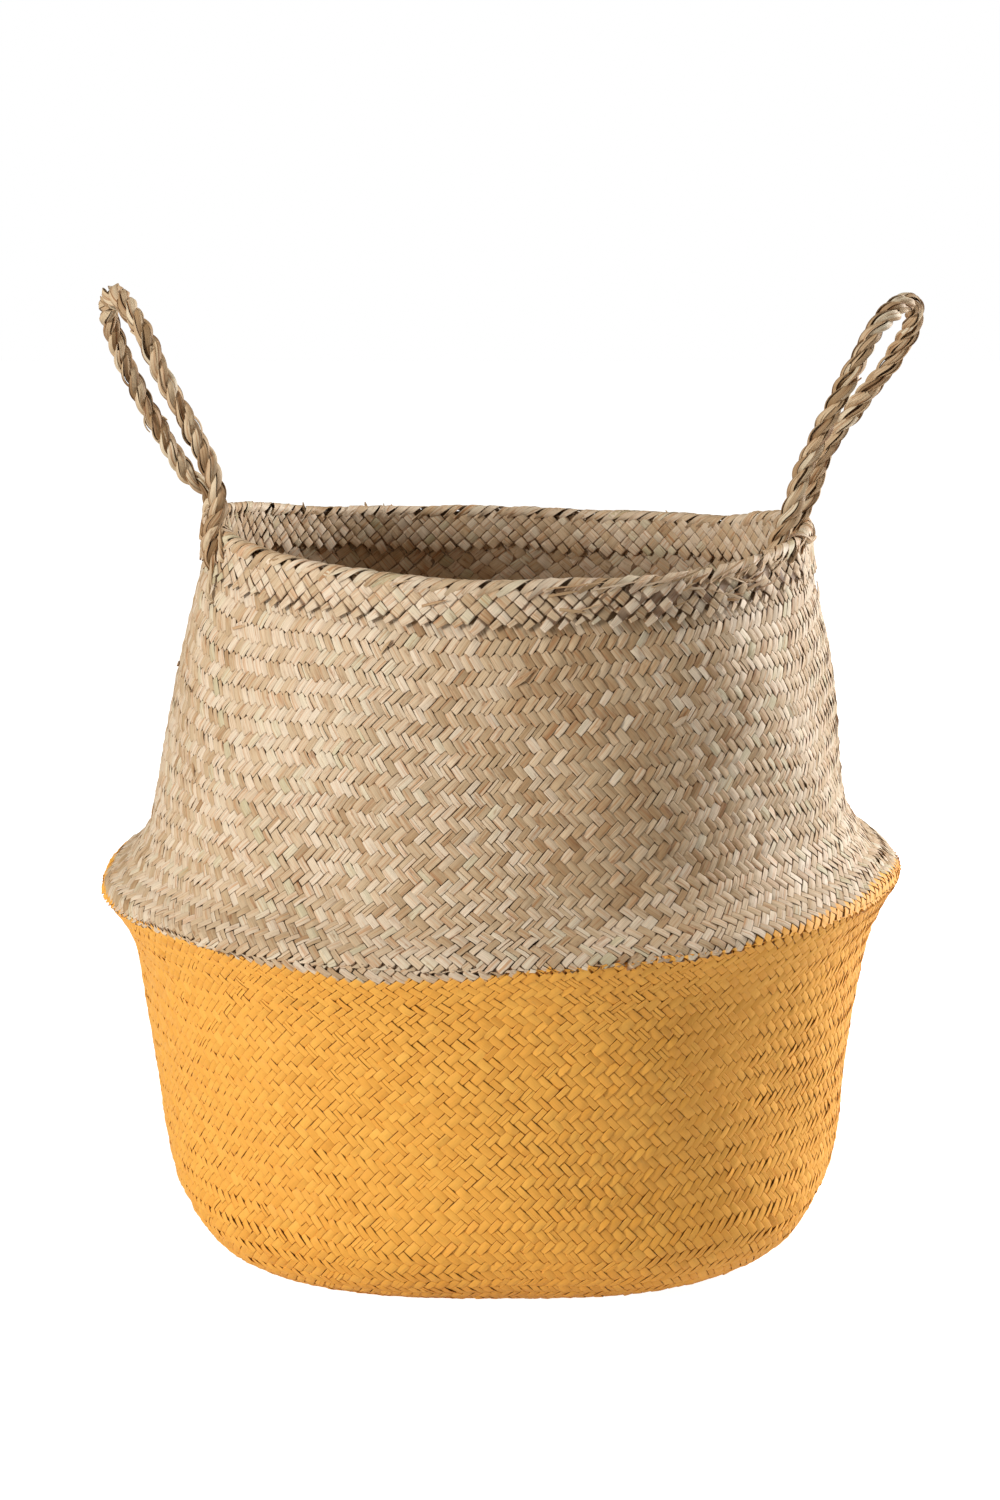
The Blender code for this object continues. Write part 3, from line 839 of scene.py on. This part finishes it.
def handlePath(hold):
    legs = hold["front"], hold["back"]
    start, end = (place(rimRadius, rimHeight, math.radians(leg["at"])) for leg in legs)
    out = unit(np.cross(end - start, (0, 0, 1.0)))
    out = out if out @ start > 0 else -out

    def leanOut(along, height):
        rise = height / hold["tall"]
        found = []
        for reach, bow, bend in (leg["lean"] for leg in legs):
            found.append(reach * (rise + bow * math.sin(math.pi * rise) - bend * math.sin(tau * rise)))
        return found[0] * (1 - along) + found[1] * along

    straight = hold["tall"] - hold["arch"]
    heights = np.linspace(0.018, straight, 10)
    route = [(0.0, h) for h in heights]
    for i in range(1, 14):
        turn = math.pi * i / 14
        route.append(((1 - math.cos(turn)) / 2, straight + hold["arch"] * math.sin(turn)))
    route += [(1.0, h) for h in heights[::-1]]
    free = [start + (end - start) * s + np.array([0, 0, h]) + out * leanOut(s, h) for s, h in route]
    ends = []
    for at, leg in zip((start, end), legs):
        away = unit(at * (1, 1, 0))
        ends.append([at + away * x + np.array([0, 0, z]) for x, z in feet[leg["foot"]]])
    line = smoothLine(ends[0] + free + ends[1][::-1], 6)
    lengths = lengthsAlong(line)
    spots = np.arange(0, lengths[-1], rope["step"])
    return np.stack([np.interp(spots, lengths, line[:, i]) for i in range(3)], axis=1)


def carried(path):
    forward = unit(np.gradient(path, axis=0))
    side = np.cross(forward[0], (0.3, 0.9, 0.1))
    sides = []
    for f in forward:
        side = side - f * (side @ f)
        side = side / np.linalg.norm(side)
        sides.append(side)
    sides = np.array(sides)
    return sides, np.cross(forward, sides)


def ropeHandle(name, hold, seed):
    path = handlePath(hold)
    side, other = carried(path)
    run = np.arange(len(path)) * rope["step"]
    own = np.random.default_rng(seed)
    some = own.uniform
    bundle = newBundle()
    drift = tau * run / rope["lay"] + 0.5 * np.sin(run * 31 + some(0, tau))
    slim = rope["end"] + (1 - rope["end"]) * eased(np.minimum(run, run[-1] - run), 0.0, rope["taper"])
    slim = slim * (1 + 0.05 * np.sin(run * 140 + seed) + 0.04 * np.sin(run * 310))
    slim = slim * (1 + hold["swell"] * np.exp(-(((run - run[-1] / 2) / 0.016) ** 2)))  # bunched at the top
    tube = np.array([(math.cos(tau * i / 6), math.sin(tau * i / 6)) for i in range(6)][::-1])
    coreWidth = 2 * rope["core"] * rope["plyRadius"]
    for ply in range(rope["plies"]):
        turn = drift + tau * ply / rope["plies"]
        reach = rope["plyReach"] * slim * (1 + 0.08 * np.sin(run * 83 + ply * 2))
        centre = path + (side * np.cos(turn)[:, None] + other * np.sin(turn)[:, None]) * reach[:, None]
        plySide, plyOther = carried(centre)
        bundle["section"] = tube
        thick = coreWidth * rope["end"]
        # the core is the darkest brown: painted shade seen between the leaves
        addStrip(bundle, centre, plySide, coreWidth * slim, thick, strand=own.random(), tone=0.1)
        bundle["section"] = np.array(flatLeaf)
        for leaf in range(rope["leaves"]):
            length = len(path)
            pieces = [0]
            while pieces[-1] < length - 30:
                pieces.append(min(pieces[-1] + int(some(55, 110)), length))
            pieces[-1] = length
            for first, last in zip(pieces[:-1], pieces[1:]):
                part = slice(max(first - 4, 0), min(last + 4, length))
                here, n = run[part], len(run[part])
                t = np.arange(n) / (n - 1)
                wind = tau * here / rope["twist"] + tau * (leaf + own.normal(0, 0.12)) / rope["leaves"]
                wind = wind + 0.35 * np.sin(here * some(60, 150))
                away = plySide[part] * np.cos(wind)[:, None] + plyOther[part] * np.sin(wind)[:, None]
                low, high, often = rope["fray"]
                frayed = some(low, high) * (own.random() < often)
                out = rope["plyRadius"] * slim[part] * some(0.88, 1.08)
                out = out + 0.00025 * np.sin(here * some(100, 300)) + frayed * eased(t, 1 - 7 / n, 1.0)
                width = some(*rope["leafWidth"]) * (1 + 0.12 * np.sin(here * some(80, 200)))
                width = width * (1 - 0.6 * eased(t, 1 - 4 / n, 1.0))
                tone = own.choice(rope["tones"], p=rope["toneShares"]) + own.normal(0, 0.06)
                middleLine, tilt = centre[part] + away * out[:, None], own.normal(0.12, 0.10)
                tone, strand = np.clip(tone, 0, 1), own.random()
                addStrip(bundle, middleLine, away, width, rope["leafThick"], tilt, strand=strand, tone=tone)
    return meshOf(bundle, name, ropeLeaf), path


# the ropes' ends, parted into thinner strands that are laid over the rim and tucked in
strands = (  # angle at the start and at the end, how far round the rim, how far down outside, width
    {"from": 202.0, "to": 198.6, "over": 0.2, "down": (0.004, 0.015), "wide": 0.0037},
    {"from": 201.6, "to": 205.6, "over": 0.2, "down": (0.005, 0.027), "wide": 0.0034},
    {"from": 204.6, "to": 207.4, "over": 0.9, "down": (0.000, 0.010), "wide": 0.0026},
    {"from": 180.0, "to": 184.5, "over": 1.2, "down": (0.000, 0.013), "wide": 0.0032},
    {"from": 332.5, "to": 352.0, "over": 2.3, "down": (0.000, 0.003), "wide": 0.0028},
)


def overRim(angle, turn, past, lift):
    point = wallPoint(angle, rimRun - past, lift * np.cos(turn))
    point[..., 2] += lift * np.sin(turn)
    return point


def strandStrips():
    bundle = newBundle()
    for i, strand in enumerate(strands):
        own = np.random.default_rng(400 + i)
        t = np.linspace(0, 1, 29)
        high, low = strand["down"]
        turn = strand["over"] * (1 - eased(t, 0.0, 0.5))
        past = high + (low - high) * eased(t, 0.1, 1.0)
        angle = np.radians(strand["from"] + (strand["to"] - strand["from"]) * t)
        lift = 0.0042 - 0.0026 * eased(t, 0.82, 1.0) - 0.0016 * eased(t, 0.15, 0.0)
        width = strand["wide"] * (0.85 + 0.15 * np.sin(t * 7 + i)) * (1 - 0.45 * eased(t, 0.75, 1.0))
        middleLine = overRim(angle, turn, past, lift)
        outward = unit(overRim(angle, turn, past, lift + 0.001) - middleLine)
        across = unit(np.cross(unit(np.gradient(middleLine, axis=0)), outward))
        for leaf in range(4):
            wind = tau * (leaf / 4 + 1.1 * t + 0.1 * own.random())[:, None]
            wide, tall = (width * 0.30)[:, None], (width * 0.22)[:, None]
            off = across * np.cos(wind) * wide + outward * np.sin(wind) * tall
            face = unit(outward * np.sin(wind) + across * np.cos(wind) + outward * 0.5)
            tilt, grain, tone = own.normal(0, 0.1), own.random(), own.uniform(0.3, 0.8)
            addStrip(bundle, middleLine + off, face, width * 0.55, 0.0005, tilt, strand=grain, tone=tone)
    return meshOf(bundle, "tucked_strands", ropeLeaf)


piece = strandStrips()
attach(piece, "upper_basket")
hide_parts("left_front_eye", "left_back_eye", "right_front_eye", "right_back_eye")

for side, hold in handles.items():
    piece, path = ropeHandle(f"{side}_rope", hold, 31 if side == "left" else 32)
    base = (path[20] + path[-21]) / 2
    base[2] = 0.333
    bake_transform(piece)
    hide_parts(f"{side}_handle")
print("handles laid up")


# floor, light and camera


def overLit(tree, soft, kind, strength):  # white for the camera, plain soft light for the rest
    glow = add(tree, kind, Color=(1, 1, 1, 1), Strength=strength)
    seen = add(tree, "LightPath").outputs["Is Camera Ray"]
    return add(tree, "MixShader", i0=seen, i1=soft.outputs[0], i2=glow.outputs[0])


def studio():
    bpy.ops.object.select_all(action="DESELECT")
    bpy.ops.mesh.primitive_plane_add(size=14, location=(0, 0, 0))
    floor = bpy.context.object
    floor.name = "studio_floor"
    paper = bpy.data.materials.new("white_paper")  # matt white paper, over-lit as in a cut-out photo
    paper.use_nodes = True
    tree = paper.node_tree
    shader = tree.nodes["Principled BSDF"]
    shader.inputs["Base Color"].default_value = (0.60, 0.60, 0.60, 1.0)
    shader.inputs["Roughness"].default_value = 0.9
    bounce = add(tree, "Emission", Color=(1, 1, 1, 1), Strength=0.20)
    lit = overLit(tree, bounce, "Emission", 0.97)
    both = add(tree, "AddShader", i0=shader.outputs[0], i1=lit.outputs[0])
    tree.links.new(both.outputs[0], tree.nodes["Material Output"].inputs["Surface"])
    floor.data.materials.append(paper)
    world = bpy.data.worlds.new("studio")
    bpy.context.scene.world = world
    world.use_nodes = True
    tree = world.node_tree
    soft = tree.nodes["Background"]
    soft.inputs["Color"].default_value = (1, 0.985, 0.965, 1)
    soft.inputs["Strength"].default_value = 0.10
    mix = overLit(tree, soft, "Background", 1.0)
    tree.links.new(mix.outputs[0], tree.nodes["World Output"].inputs["Surface"])


def softbox(name, azimuth, height, away, size, power, colour):
    data = bpy.data.lights.new(name, "AREA")
    data.shape = "RECTANGLE"
    data.size, data.size_y = size
    data.energy = power
    data.color = colour
    lamp = bpy.data.objects.new(name, data)
    bpy.context.scene.collection.objects.link(lamp)
    lamp.location = (away * math.sin(math.radians(azimuth)), -away * math.cos(math.radians(azimuth)), height)
    lamp.rotation_euler = (Vector((0, 0, 0.2)) - lamp.location).to_track_quat("-Z", "Y").to_euler()


studio()
softbox("left_softbox", -55, 0.80, 2.3, (0.45, 0.55), 39, (1.0, 0.985, 0.955))
softbox("top_softbox", -10, 2.10, 0.8, (0.9, 0.9), 13, (1.0, 0.985, 0.96))
softbox("right_softbox", 116, 0.95, 2.1, (0.8, 0.8), 62, (1.0, 0.995, 0.985))

view = {"place": (0.0, -1.2875, 0.488), "down": math.radians(11.41), "focus": 2750, "tall": 1500}
camera = bpy.data.objects.new("camera", bpy.data.cameras.new("camera"))
camera.location = view["place"]
camera.rotation_euler = (math.radians(90) - view["down"], 0, 0)
camera.data.lens = view["focus"] * camera.data.sensor_width / view["tall"]
camera.data.clip_end = 50
bpy.context.scene.collection.objects.link(camera)
bpy.context.scene.camera = camera
bpy.context.scene.view_settings.view_transform = "Standard"
print("studio ready")

shown = [thing for thing in bpy.context.scene.objects if thing.type == "MESH" and not thing.hide_render]
faces = {thing.name: sum(len(face.vertices) - 2 for face in thing.data.polygons) for thing in shown}
print("triangles", sum(faces.values()), "most", max(faces.items(), key=lambda item: item[1]))
